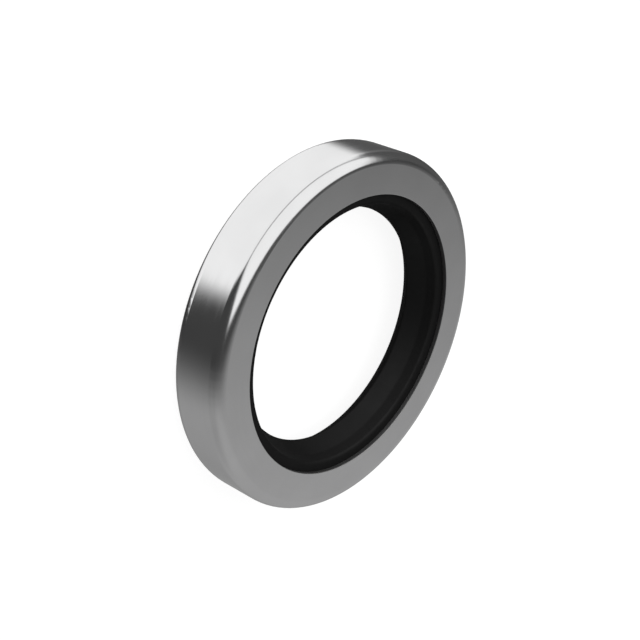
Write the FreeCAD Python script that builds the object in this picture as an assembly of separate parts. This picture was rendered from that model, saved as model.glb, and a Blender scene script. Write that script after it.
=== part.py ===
import FreeCAD, Part
import math
import os

os.makedirs("parts", exist_ok=True)

# Rotary shaft oil seal for a 28 mm shaft in a 42 mm housing bore, 7 mm wide. All sizes are in
# millimetres. The rear rim stands on z = 0, the bare metal face looks up at z = seal_width, and the
# shaft's axis is Z. Every piece is a turned section: a list of corners (radius, height, rounding).

# What the seal fits
shaft_r = 14.0               # radius of the shaft the lip runs on
housing_r = 21.0             # radius of the housing bore, which is the seal's outside
seal_width = 7.0             # rear rim to front face

# Outer case, a drawn steel cup with its flange in front and its rim curled in behind
case_sheet = 0.8             # sheet thickness
case_corner_r = 1.3          # outside rounding between the face and the wall
curl_r = 1.4                 # outside rounding of the rim curled over the inner case
curl_cover = 0.35            # how far the curled rim reaches in past the inner case's wall
case_edge_break = 0.12       # rounding on the rim's cut edge
flange_edge_break = 0.06     # rounding on the flange's cut edge

# Inner case, a stiffening ring of steel angle pressed into the outer one
inner_sheet = 0.7            # sheet thickness
inner_bend_r = 1.0           # outside rounding of the bend
flange_setback = 1.0         # its flange ends this far outside the outer case's flange
inner_edge_break = 0.1       # rounding on its cut edge

# Rubber element: the layer clamped between the flanges, its heel, its neck and its lip
clamped_rubber = 0.9         # thickness between the two flanges
layer_gap = 0.1              # left free between the layer's edge and the inner case's bend
bare_edge = 0.5              # how much of the flange's cut edge stays bare in front of the rubber
mouth_clearance = 1.2        # room between the shaft and the corner of the rubber's mouth
heel_rubber = 1.15           # rubber between that corner and the outer case's flange
mouth_fall = 0.05            # how much the rubber falls from the flange's edge to that corner
mouth_round = 0.4            # rounding of the corner
bend_z = 5.1                 # height where the mouth's bore bends into the air-side cone
bend_round = 1.0             # rounding of that bend
neck_wall = 0.85             # thickness of the bending neck, measured level
heel_relief = 0.3            # the heel ends this far in front of the inner flange's rear face
heel_round = 0.5             # rounding where the neck meets the heel
neck_round = 0.12            # rounding where the neck meets the lip's head
lip_interference = 0.1       # how much smaller than the shaft the lip is, as a radius
contact_z = 3.0              # height of the middle of the contact band
contact_band = 0.2           # length of the contact band
air_cone_deg = 26.0          # slope of the lip on the air side
oil_cone_deg = 39.0          # slope of the lip on the oil side
nose_z = 1.65                # height of the lip's free end over the rear rim
nose_inner_round = 0.12      # rounding at the end of the oil-side cone
nose_outer_round = 0.35      # rounding of the lip's outer corner
lip_wall = 0.8               # rubber between the contact band and the bottom of the spring groove
rear_shoulder_reach = 0.95   # how far the rear shoulder stands out from the groove's bottom
front_shoulder_reach = 0.95  # how far the front shoulder stands out from the groove's bottom
front_shoulder = 0.27        # thickness of the front shoulder
shoulder_round = 0.12        # rounding of the groove's mouth

# Garter spring, closed into a ring and laid in the groove
coil_r = 0.65                # outside radius of the close-wound coil
spring_offset = 0.35         # the spring's middle lies this far in front of the contact band
groove_play = 0.03           # room beside the coil in the groove

# Sizes that follow from those above
mouth_r = shaft_r + mouth_clearance
lip_r = shaft_r - lip_interference
flange_edge_r = mouth_r + heel_rubber
inner_edge_r = flange_edge_r + flange_setback
case_inner_r = housing_r - case_sheet
flange_back_z = seal_width - case_sheet
inner_wall_r = case_inner_r - inner_sheet
inner_flange_z = flange_back_z - clamped_rubber
inner_flange_back_z = inner_flange_z - inner_sheet
rubber_front_z = seal_width - bare_edge
curl_inner_r = max(curl_r - case_sheet, 0.05)
layer_r = case_inner_r - inner_bend_r - layer_gap
band_front_z = contact_z + contact_band / 2.0
band_back_z = contact_z - contact_band / 2.0
spring_z = contact_z + spring_offset
bend_r = lip_r + (bend_z - band_front_z) * math.tan(math.radians(air_cone_deg))
groove_bottom_r = lip_r + lip_wall
groove_half = coil_r + groove_play
spring_mean_r = groove_bottom_r + coil_r


def tangent_corner(before, corner, after, rounding):
    """Give the start, middle and end of the arc that rounds one corner of a section."""
    to_before = before.sub(corner).normalize()
    to_after = after.sub(corner).normalize()
    half_angle = to_before.getAngle(to_after) / 2.0
    setback = rounding / math.tan(half_angle)
    start = corner.add(FreeCAD.Vector(to_before).multiply(setback))
    end = corner.add(FreeCAD.Vector(to_after).multiply(setback))
    middle_way = to_before.add(to_after).normalize()
    reach = rounding / math.sin(half_angle) - rounding
    middle = corner.add(middle_way.multiply(reach))
    return start, middle, end


def turned(corners):
    """Turn a closed section about the shaft's axis. Each corner is (radius, height, rounding)."""
    points = [FreeCAD.Vector(radius, 0.0, height) for radius, height, rounding in corners]
    edges = []
    first_start = None
    last_end = None
    for index, (radius, height, rounding) in enumerate(corners):
        corner = points[index]
        if rounding > 0.0:
            before = points[index - 1]
            after = points[(index + 1) % len(points)]
            start, middle, end = tangent_corner(before, corner, after, rounding)
        else:
            start, middle, end = corner, None, corner
        if last_end is None:
            first_start = start
        elif last_end.distanceToPoint(start) > 1e-6:
            edges.append(Part.makeLine(last_end, start))
        if middle is not None:
            edges.append(Part.Arc(start, middle, end).toShape())
        last_end = end
    if last_end.distanceToPoint(first_start) > 1e-6:
        edges.append(Part.makeLine(last_end, first_start))
    face = Part.Face(Part.Wire(Part.__sortEdges__(edges)))
    solid = face.revolve(FreeCAD.Vector(0, 0, 0), FreeCAD.Vector(0, 0, 1), 360)
    return solid


def outer_case():
    """Cup drawn from one sheet: front flange, ground wall, and the rim curled in at the rear."""
    rim_r = inner_wall_r - curl_cover
    inside_corner = max(case_corner_r - case_sheet, 0.05)
    return turned([
        (flange_edge_r, seal_width, flange_edge_break),
        (housing_r, seal_width, case_corner_r),
        (housing_r, 0.0, curl_r),
        (rim_r, 0.0, case_edge_break),
        (rim_r, case_sheet, case_edge_break),
        (case_inner_r, case_sheet, curl_inner_r),
        (case_inner_r, flange_back_z, inside_corner),
        (flange_edge_r, flange_back_z, 0.0),
    ])


def inner_case():
    """Angle ring: its wall stands on the curled rim, its flange presses the rubber forwards."""
    inside_bend = max(inner_bend_r - inner_sheet, 0.05)
    return turned([
        (inner_edge_r, inner_flange_z, 0.0),
        (case_inner_r, inner_flange_z, inner_bend_r),
        (case_inner_r, case_sheet, curl_inner_r),
        (inner_wall_r, case_sheet, 0.0),
        (inner_wall_r, inner_flange_back_z, inside_bend),
        (inner_edge_r, inner_flange_back_z, inner_edge_break),
    ])


def sealing_lip():
    """Moulded rubber: clamped layer, heel round the flange's edge, neck, lip and spring groove."""
    oil_cone_run = (band_back_z - nose_z) * math.tan(math.radians(oil_cone_deg))
    groove_back_z = spring_z - groove_half
    groove_front_z = spring_z + groove_half
    shoulder_z = groove_front_z + front_shoulder
    shoulder_bore_r = bend_r - (bend_z - shoulder_z) * math.tan(math.radians(air_cone_deg))
    heel_back_z = inner_flange_back_z + heel_relief
    return turned([
        (flange_edge_r, rubber_front_z, 0.0),
        (flange_edge_r, flange_back_z, 0.0),
        (layer_r, flange_back_z, 0.0),
        (layer_r, inner_flange_z, 0.0),
        (inner_edge_r, inner_flange_z, 0.0),
        (inner_edge_r, heel_back_z, 0.0),
        (bend_r + neck_wall, heel_back_z, heel_round),
        (shoulder_bore_r + neck_wall, shoulder_z, neck_round),
        (groove_bottom_r + front_shoulder_reach, shoulder_z, shoulder_round),
        (groove_bottom_r + front_shoulder_reach, groove_front_z, 0.0),
        (groove_bottom_r, groove_front_z, groove_half * 0.999),
        (groove_bottom_r, groove_back_z, groove_half * 0.999),
        (groove_bottom_r + rear_shoulder_reach, groove_back_z, shoulder_round),
        (groove_bottom_r + rear_shoulder_reach, nose_z, nose_outer_round),
        (lip_r + oil_cone_run, nose_z, nose_inner_round),
        (lip_r, band_back_z, 0.0),
        (lip_r, band_front_z, 0.0),
        (bend_r, bend_z, bend_round),
        (mouth_r, rubber_front_z - mouth_fall, mouth_round),
    ])


def garter_spring():
    """Envelope of the close-wound spring, a plain ring that lies on the bottom of the groove."""
    return Part.makeTorus(spring_mean_r, coil_r, FreeCAD.Vector(0, 0, spring_z), FreeCAD.Vector(0, 0, 1))


outer_case().exportStep("parts/outer_case.step")
inner_case().exportStep("parts/inner_case.step")
sealing_lip().exportStep("parts/sealing_lip.step")
garter_spring().exportStep("parts/garter_spring.step")
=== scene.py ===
import math

import bpy
from mathutils import Matrix, Vector


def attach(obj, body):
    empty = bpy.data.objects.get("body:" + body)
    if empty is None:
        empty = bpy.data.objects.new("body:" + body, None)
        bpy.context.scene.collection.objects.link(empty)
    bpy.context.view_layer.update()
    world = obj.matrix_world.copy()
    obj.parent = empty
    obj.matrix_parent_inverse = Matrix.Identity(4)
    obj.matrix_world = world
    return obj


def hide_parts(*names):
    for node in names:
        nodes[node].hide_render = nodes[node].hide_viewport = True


# Rotary shaft oil seal lying on its rear rim. Blender's unit is the metre; sizes below are in
# millimetres where their name ends in _mm, and angles are in degrees where it ends in _deg. The
# shaft's axis is Z, and the bare metal face looks up.

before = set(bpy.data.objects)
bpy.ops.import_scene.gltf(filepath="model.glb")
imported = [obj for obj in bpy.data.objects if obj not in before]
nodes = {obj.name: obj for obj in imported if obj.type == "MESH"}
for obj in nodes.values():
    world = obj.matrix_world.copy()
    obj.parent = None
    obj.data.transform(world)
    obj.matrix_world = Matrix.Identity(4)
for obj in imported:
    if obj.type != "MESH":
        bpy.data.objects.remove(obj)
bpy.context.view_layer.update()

MM = 0.001


# Small helpers for node trees

def new_material(name):
    material = bpy.data.materials.new(name)
    material.use_nodes = True
    tree = material.node_tree
    tree.nodes.clear()
    return material, tree


def link(tree, source, target):
    tree.links.new(source, target)


def math_node(tree, operation, first, second=None, third=None):
    """A Math node; each input is a number or the socket that feeds it."""
    node = tree.nodes.new("ShaderNodeMath")
    node.operation = operation
    for index, value in enumerate((first, second, third)):
        if value is None:
            continue
        if isinstance(value, (int, float)):
            node.inputs[index].default_value = value
        else:
            link(tree, value, node.inputs[index])
    return node.outputs[0]


def soft_step(tree, value, low, high, out_low=0.0, out_high=1.0):
    """Map a value to out_low..out_high with soft ends between low and high."""
    node = tree.nodes.new("ShaderNodeMapRange")
    node.interpolation_type = "SMOOTHSTEP"
    link(tree, value, node.inputs["Value"])
    node.inputs["From Min"].default_value = low
    node.inputs["From Max"].default_value = high
    node.inputs["To Min"].default_value = out_low
    node.inputs["To Max"].default_value = out_high
    return node.outputs["Result"]


def ring_coordinates(tree):
    """Give the radius and height in millimetres, and the x and y of the direction off the axis."""
    where = tree.nodes.new("ShaderNodeTexCoord")
    split = tree.nodes.new("ShaderNodeSeparateXYZ")
    link(tree, where.outputs["Object"], split.inputs[0])
    x, y, z = split.outputs[0], split.outputs[1], split.outputs[2]
    squares = math_node(tree, "ADD", math_node(tree, "MULTIPLY", x, x), math_node(tree, "MULTIPLY", y, y))
    radius = math_node(tree, "SQRT", squares)
    across = math_node(tree, "DIVIDE", x, radius)
    along = math_node(tree, "DIVIDE", y, radius)
    radius_mm = math_node(tree, "MULTIPLY", radius, 1.0 / MM)
    height_mm = math_node(tree, "MULTIPLY", z, 1.0 / MM)
    return radius_mm, height_mm, across, along


def ring_noise(tree, pitch_mm, sweep, detail=3.0, offset=0.0):
    """Noise drawn out round the axis: fine across the section, slow along the ring."""
    radius_mm, height_mm, across, along = ring_coordinates(tree)
    join = tree.nodes.new("ShaderNodeCombineXYZ")
    link(tree, math_node(tree, "MULTIPLY", across, sweep), join.inputs[0])
    link(tree, math_node(tree, "MULTIPLY", along, sweep), join.inputs[1])
    link(tree, math_node(tree, "MULTIPLY_ADD", radius_mm, 1.0 / pitch_mm, offset), join.inputs[2])
    noise = tree.nodes.new("ShaderNodeTexNoise")
    noise.noise_dimensions = "4D"
    noise.inputs["Scale"].default_value = 1.0
    noise.inputs["Detail"].default_value = detail
    link(tree, join.outputs[0], noise.inputs["Vector"])
    link(tree, math_node(tree, "MULTIPLY", height_mm, 1.0 / pitch_mm), noise.inputs["W"])
    return noise.outputs["Fac"]


def grain_noise(tree, size_mm, detail):
    """Even noise in space, with grains about size_mm across."""
    where = tree.nodes.new("ShaderNodeTexCoord")
    noise = tree.nodes.new("ShaderNodeTexNoise")
    noise.inputs["Scale"].default_value = 1.0 / (size_mm * MM)
    noise.inputs["Detail"].default_value = detail
    link(tree, where.outputs["Object"], noise.inputs["Vector"])
    return noise.outputs["Fac"]


def bump(tree, height, strength, distance_mm):
    node = tree.nodes.new("ShaderNodeBump")
    node.inputs["Strength"].default_value = strength
    node.inputs["Distance"].default_value = distance_mm * MM
    link(tree, height, node.inputs["Height"])
    return node.outputs["Normal"]


def tint(tree, value, first, second):
    """Blend two colours by a value; each is a triple or the socket that feeds it."""
    node = tree.nodes.new("ShaderNodeMix")
    node.data_type = "RGBA"
    link(tree, value, node.inputs["Factor"])
    for letter, colour in (("A", first), ("B", second)):
        if isinstance(colour, tuple):
            node.inputs[letter].default_value = (*colour, 1.0)
        else:
            link(tree, colour, node.inputs[letter])
    return node.outputs["Result"]


def surface(tree):
    shader = tree.nodes.new("ShaderNodeBsdfPrincipled")
    out = tree.nodes.new("ShaderNodeOutputMaterial")
    link(tree, shader.outputs[0], out.inputs["Surface"])
    return shader


# Materials

def steel(name, dark, light, rough_low, rough_high, line_mm, line_strength, cut_edge_mm=None):
    """Bare sheet steel with fine turned lines round the axis and a faint cloudiness.

    The cut edge at radius cut_edge_mm is painted dark and made dull. The dark colour is painted shade,
    standing in for shade on the narrow bare edge where the steel would otherwise mirror bright light.
    """
    shade_from_mm, shade_to_mm = 0.01, 0.05    # the painted shade on the cut edge fades out between these radii, outside the cut edge
    # painted shade: dark grey laid on the cut edge in place of its reflection
    edge_shade_colour = (0.24, 0.24, 0.24)
    edge_roughness = 0.35                    # added to the roughness of the steel
    slant_tint = (0.88, 0.88, 0.88, 1.0)     # steel mirrors a little less where it is seen at a slant
    material, tree = new_material(name)
    shader = surface(tree)
    shader.inputs["Metallic"].default_value = 1.0
    shader.inputs["Specular Tint"].default_value = slant_tint
    lines = ring_noise(tree, line_mm, sweep=0.6)
    bands = ring_noise(tree, 3.0 * line_mm, sweep=1.5, offset=7.0)
    clouds = grain_noise(tree, 6.0, detail=4.0)
    colour = tint(tree, soft_step(tree, clouds, 0.3, 0.7), dark, light)
    rough = soft_step(tree, bands, 0.25, 0.75, rough_low, rough_high)
    if cut_edge_mm is not None:
        radius_mm = ring_coordinates(tree)[0]
        # painted shade: darkens the steel's colour on the cut edge, which is also made rougher
        painted_edge_shade = soft_step(tree, radius_mm, cut_edge_mm + shade_from_mm, cut_edge_mm + shade_to_mm, 1.0, 0.0)
        colour = tint(tree, painted_edge_shade, colour, edge_shade_colour)
        rough = math_node(tree, "MULTIPLY_ADD", painted_edge_shade, edge_roughness, rough)
    link(tree, colour, shader.inputs["Base Color"])
    link(tree, rough, shader.inputs["Roughness"])
    link(tree, bump(tree, lines, line_strength, distance_mm=0.01), shader.inputs["Normal"])
    return material


def rubber(name):
    """Moulded black nitrile rubber, half matt, with the fine skin of a spark-eroded mould.

    Its front is trimmed and duller than the moulded bore, and it is rougher where it is seen at a
    slant.
    """
    dark, light = (0.001, 0.001, 0.001), (0.002, 0.002, 0.002)
    rough_low, rough_high = 0.58, 0.66
    slant_roughness = 0.34                   # added at a slant
    bore_to_mm, front_from_mm = 15.1, 15.4   # the bore's gloss fades into the front's between these
    front_gloss = (0.6, 0.6, 0.6)            # against 1 for the bore
    material, tree = new_material(name)
    shader = surface(tree)
    clouds = grain_noise(tree, 3.0, detail=4.0)
    colour = tint(tree, clouds, dark, light)
    slant = tree.nodes.new("ShaderNodeLayerWeight").outputs["Facing"]
    rough = soft_step(tree, clouds, 0.3, 0.7, rough_low, rough_high)
    rough = math_node(tree, "ADD", rough, soft_step(tree, slant, 0.3, 0.6, 0.0, slant_roughness))
    front = soft_step(tree, ring_coordinates(tree)[0], bore_to_mm, front_from_mm)
    skin = grain_noise(tree, 0.12, detail=2.0)
    link(tree, colour, shader.inputs["Base Color"])
    link(tree, rough, shader.inputs["Roughness"])
    link(tree, tint(tree, front, (1.0, 1.0, 1.0), front_gloss), shader.inputs["Specular Tint"])
    shader.inputs["Specular IOR Level"].default_value = 0.33
    link(tree, bump(tree, skin, strength=0.2, distance_mm=0.01), shader.inputs["Normal"])
    return material


def dress(obj, material):
    obj.data.materials.clear()
    obj.data.materials.append(material)


def bore_mm(piece):
    """Radius of a piece's bore: the least distance of its corners from the shaft's axis."""
    points = [piece.matrix_world @ vertex.co for vertex in piece.data.vertices]
    return min(math.hypot(point.x, point.y) for point in points) / MM


case_steel = steel(
    "case_steel",
    dark=(0.62, 0.62, 0.622),
    light=(0.65, 0.65, 0.652),
    rough_low=0.12,
    rough_high=0.18,
    line_mm=0.12,
    line_strength=0.08,
    cut_edge_mm=bore_mm(nodes["outer_case"]),
)
inner_steel = steel(
    "inner_steel",
    dark=(0.48, 0.48, 0.485),
    light=(0.55, 0.55, 0.555),
    rough_low=0.28,
    rough_high=0.38,
    line_mm=0.2,
    line_strength=0.15,
)
spring_steel = steel(
    "spring_steel",
    dark=(0.45, 0.45, 0.45),
    light=(0.52, 0.52, 0.515),
    rough_low=0.25,
    rough_high=0.3,
    line_mm=0.3,
    line_strength=0.05,
)
lip_rubber = rubber("lip_rubber")

dress(nodes["outer_case"], case_steel)
dress(nodes["inner_case"], inner_steel)
dress(nodes["sealing_lip"], lip_rubber)
dress(nodes["garter_spring"], spring_steel)


# The real garter spring takes the place of its plain envelope

def wound_ring(name, envelope, wire_mm):
    """Close-wound coil of round wire bent into a ring that fills the envelope's torus."""
    corners = [envelope.matrix_world @ Vector(corner) for corner in envelope.bound_box]
    outer_r = max(corner.x for corner in corners)
    low_z = min(corner.z for corner in corners)
    high_z = max(corner.z for corner in corners)
    coil_r = (high_z - low_z) / 2.0
    ring_r = outer_r - coil_r
    wire_r = wire_mm * MM / 2.0
    wound_r = coil_r - wire_r
    turns = int(2.0 * math.pi * (ring_r - wound_r) / (2.0 * wire_r))
    steps_per_turn = 20          # places along the wire in one turn of the coil
    sides = 6                    # sides of the wire's round section
    steps = turns * steps_per_turn
    vertices = []
    for step in range(steps):
        along = 2.0 * math.pi * step / steps
        wind = 2.0 * math.pi * step / steps_per_turn
        outward = Vector((math.cos(along), math.sin(along), 0.0))
        upward = Vector((0.0, 0.0, 1.0))
        forward = Vector((-math.sin(along), math.cos(along), 0.0))
        spoke = outward * math.cos(wind) + upward * math.sin(wind)
        tangent = (upward * math.cos(wind) - outward * math.sin(wind)) * wound_r
        tangent += forward * (ring_r + wound_r * math.cos(wind)) / turns
        side_way = tangent.normalized().cross(spoke)
        centre = outward * ring_r + Vector((0.0, 0.0, (low_z + high_z) / 2.0)) + spoke * wound_r
        for side in range(sides):
            angle = 2.0 * math.pi * side / sides
            vertices.append(centre + (spoke * math.cos(angle) + side_way * math.sin(angle)) * wire_r)
    faces = []
    for step in range(steps):
        here = step * sides
        there = (step + 1) % steps * sides
        for side in range(sides):
            beside = (side + 1) % sides
            faces.append((here + side, there + side, there + beside, here + beside))
    mesh = bpy.data.meshes.new(name)
    mesh.from_pydata(vertices, [], faces)
    mesh.shade_smooth()
    spring = bpy.data.objects.new(name, mesh)
    bpy.context.scene.collection.objects.link(spring)
    return spring


spring_coil = wound_ring("spring_coil", nodes["garter_spring"], wire_mm=0.3)
dress(spring_coil, spring_steel)
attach(spring_coil, "root")
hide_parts("garter_spring")


# Studio

def heading(azimuth_deg, elevation_deg):
    """Unit vector from an azimuth from +X towards +Y and an elevation over the floor."""
    azimuth, elevation = math.radians(azimuth_deg), math.radians(elevation_deg)
    level = math.cos(elevation)
    return (level * math.cos(azimuth), level * math.sin(azimuth), math.sin(elevation))


def studio_world():
    """Plain white for the camera, and for light and reflections the studio.

    The studio is a white half with a thin grey seam, cut off at either side by a dark screen, and a
    grey card opposite with broad lighter and darker parts. Its tones are those of a picture on a
    screen, and the power of 2.2 turns them into light.
    """
    fold = 0.115                 # sine of the dip below which the studio repeats what lies above it
    white_tone = 0.911
    seam_place = 0.262
    seam_half_width = 0.11
    seam_tone = 0.4              # share of the white that is left in the middle of the seam
    tone_power = 2.2
    strength = 1.6

    world = bpy.data.worlds.new("studio")
    world.use_nodes = True
    tree = world.node_tree
    tree.nodes.clear()
    direction = tree.nodes.new("ShaderNodeTexCoord").outputs["Generated"]
    split = tree.nodes.new("ShaderNodeSeparateXYZ")
    link(tree, direction, split.inputs[0])
    join = tree.nodes.new("ShaderNodeCombineXYZ")
    link(tree, split.outputs[0], join.inputs[0])
    link(tree, split.outputs[1], join.inputs[1])
    height = math_node(tree, "ABSOLUTE", math_node(tree, "ADD", split.outputs[2], fold))
    link(tree, height, join.inputs[2])
    folded = join.outputs[0]

    def along(way, azimuth_deg, elevation_deg):
        """How far a direction goes along a heading: 1 for the same way, 0 for square to it."""
        node = tree.nodes.new("ShaderNodeVectorMath")
        node.operation = "DOT_PRODUCT"
        link(tree, way, node.inputs[0])
        node.inputs[1].default_value = heading(azimuth_deg, elevation_deg)
        return node.outputs["Value"]

    def edge(azimuth_deg, elevation_deg, place, softness):
        """A soft straight edge: 1 on the side of the heading, 0 beyond."""
        far = along(folded, azimuth_deg, elevation_deg)
        return soft_step(tree, far, place - softness / 2, place + softness / 2)

    def patch(way, azimuth_deg, elevation_deg, rim, middle, tone, around=0.0):
        """A soft round patch of one tone about a heading, and another tone around it."""
        return soft_step(tree, along(way, azimuth_deg, elevation_deg), rim, middle, around, tone)

    half = edge(-149.4, -1.3, place=0.005, softness=0.184)
    one_screen = edge(163.1, 25.6, place=-0.079, softness=0.196)
    other_screen = edge(-73.7, 16.1, place=-0.460, softness=0.129)
    off_seam = math_node(tree, "SUBTRACT", along(direction, -126.3, 62.7), seam_place)
    off_seam = math_node(tree, "ABSOLUTE", off_seam)
    white = soft_step(tree, off_seam, 0.0, seam_half_width, seam_tone, 1.0)
    for part in (half, one_screen, other_screen):
        white = math_node(tree, "MULTIPLY", white, part)

    card = patch(folded, 37.2, -4.7, rim=0.017, middle=0.586, tone=0.579, around=0.236)
    light_beside = patch(folded, 147.2, 1.5, rim=0.798, middle=0.935, tone=0.063)
    light_below = patch(direction, 152.4, -55.1, rim=0.703, middle=0.903, tone=0.124)
    dark_below = patch(direction, 83.4, -60.0, rim=0.429, middle=1.144, tone=-0.089)
    dark_beside = patch(direction, -12.8, -7.4, rim=0.687, middle=1.080, tone=-0.055)
    for part in (light_beside, light_below, dark_below, dark_beside):
        card = math_node(tree, "ADD", card, part)

    rest = math_node(tree, "MULTIPLY", card, math_node(tree, "SUBTRACT", 1.0, white))
    tone = math_node(tree, "MULTIPLY_ADD", white, white_tone, rest)
    studio = tree.nodes.new("ShaderNodeBackground")
    link(tree, math_node(tree, "POWER", tone, tone_power), studio.inputs["Color"])
    studio.inputs["Strength"].default_value = strength
    backdrop = tree.nodes.new("ShaderNodeBackground")
    backdrop.inputs["Color"].default_value = (1.0, 1.0, 1.0, 1.0)
    backdrop.inputs["Strength"].default_value = 1.0
    path = tree.nodes.new("ShaderNodeLightPath")
    choice = tree.nodes.new("ShaderNodeMixShader")
    link(tree, path.outputs["Is Camera Ray"], choice.inputs["Fac"])
    link(tree, studio.outputs[0], choice.inputs[1])
    link(tree, backdrop.outputs[0], choice.inputs[2])
    out = tree.nodes.new("ShaderNodeOutputWorld")
    link(tree, choice.outputs[0], out.inputs["Surface"])
    bpy.context.scene.world = world


def studio_floor():
    """Pale floor that shows white to the camera and darkens a little in the seal's shadow.

    Reflections show it only under the bore, as far out as mirrored_to_mm, and beyond clear_from_mm
    they show the studio. Seen from below, the floor is clear.
    """
    reach_m = 2.5
    drop_mm = 0.02                           # how far it lies under the rim that the seal rests on
    paint_tone = (0.25, 0.25, 0.25, 1.0)
    shown_to_camera = 0.9
    mirrored_to_mm, clear_from_mm = 14.6, 15.4
    material, tree = new_material("floor_white")
    paint = tree.nodes.new("ShaderNodeBsdfDiffuse")
    paint.inputs["Color"].default_value = paint_tone
    glow = tree.nodes.new("ShaderNodeEmission")
    path = tree.nodes.new("ShaderNodeLightPath")
    shine = math_node(tree, "MULTIPLY", path.outputs["Is Camera Ray"], shown_to_camera)
    link(tree, shine, glow.inputs["Strength"])
    both = tree.nodes.new("ShaderNodeAddShader")
    link(tree, paint.outputs[0], both.inputs[0])
    link(tree, glow.outputs[0], both.inputs[1])
    clear = tree.nodes.new("ShaderNodeBsdfTransparent")
    side = tree.nodes.new("ShaderNodeNewGeometry")
    outside = soft_step(tree, ring_coordinates(tree)[0], mirrored_to_mm, clear_from_mm)
    not_mirrored = math_node(tree, "MULTIPLY", path.outputs["Is Glossy Ray"], outside)
    choice = tree.nodes.new("ShaderNodeMixShader")
    link(tree, math_node(tree, "MAXIMUM", side.outputs["Backfacing"], not_mirrored), choice.inputs["Fac"])
    link(tree, both.outputs[0], choice.inputs[1])
    link(tree, clear.outputs[0], choice.inputs[2])
    out = tree.nodes.new("ShaderNodeOutputMaterial")
    link(tree, choice.outputs[0], out.inputs["Surface"])
    mesh = bpy.data.meshes.new("floor")
    level = -drop_mm * MM
    corners = [(x * reach_m, y * reach_m, level) for x, y in ((-1, -1), (1, -1), (1, 1), (-1, 1))]
    mesh.from_pydata(corners, [], [(0, 1, 2, 3)])
    floor = bpy.data.objects.new("floor", mesh)
    bpy.context.scene.collection.objects.link(floor)
    floor.data.materials.append(material)


def photo_camera():
    """Camera at the photo's viewpoint, rolled as the photo is."""
    tilt = 0.9321                # radians between the shaft's axis and the line of sight
    turn = 0.4163                # radians of roll, counted from a camera that lies on its side
    distance_mm = 151.727        # from the middle of the rear rim's plane
    aside_mm, below_mm = 1.253, 0.376
    frame_px = 640.0
    focal_px = 1330.57           # the lens as a length on the frame
    sensor_mm = 36.0
    right = Vector((-math.sin(turn), math.cos(tilt) * math.cos(turn), math.sin(tilt) * math.cos(turn)))
    down = Vector((math.cos(turn), math.cos(tilt) * math.sin(turn), math.sin(tilt) * math.sin(turn)))
    back = Vector((0.0, -math.sin(tilt), math.cos(tilt)))
    place = (back * distance_mm + right * aside_mm + down * below_mm) * MM
    data = bpy.data.cameras.new("photo_camera")
    data.sensor_width = sensor_mm
    data.lens = sensor_mm * focal_px / frame_px
    data.clip_start = 0.01
    camera = bpy.data.objects.new("photo_camera", data)
    bpy.context.scene.collection.objects.link(camera)
    columns = Matrix((right, -down, back)).transposed()
    camera.matrix_world = Matrix.Translation(place) @ columns.to_4x4()
    bpy.context.scene.camera = camera


studio_world()
studio_floor()
photo_camera()
bpy.context.scene.view_settings.view_transform = "Standard"
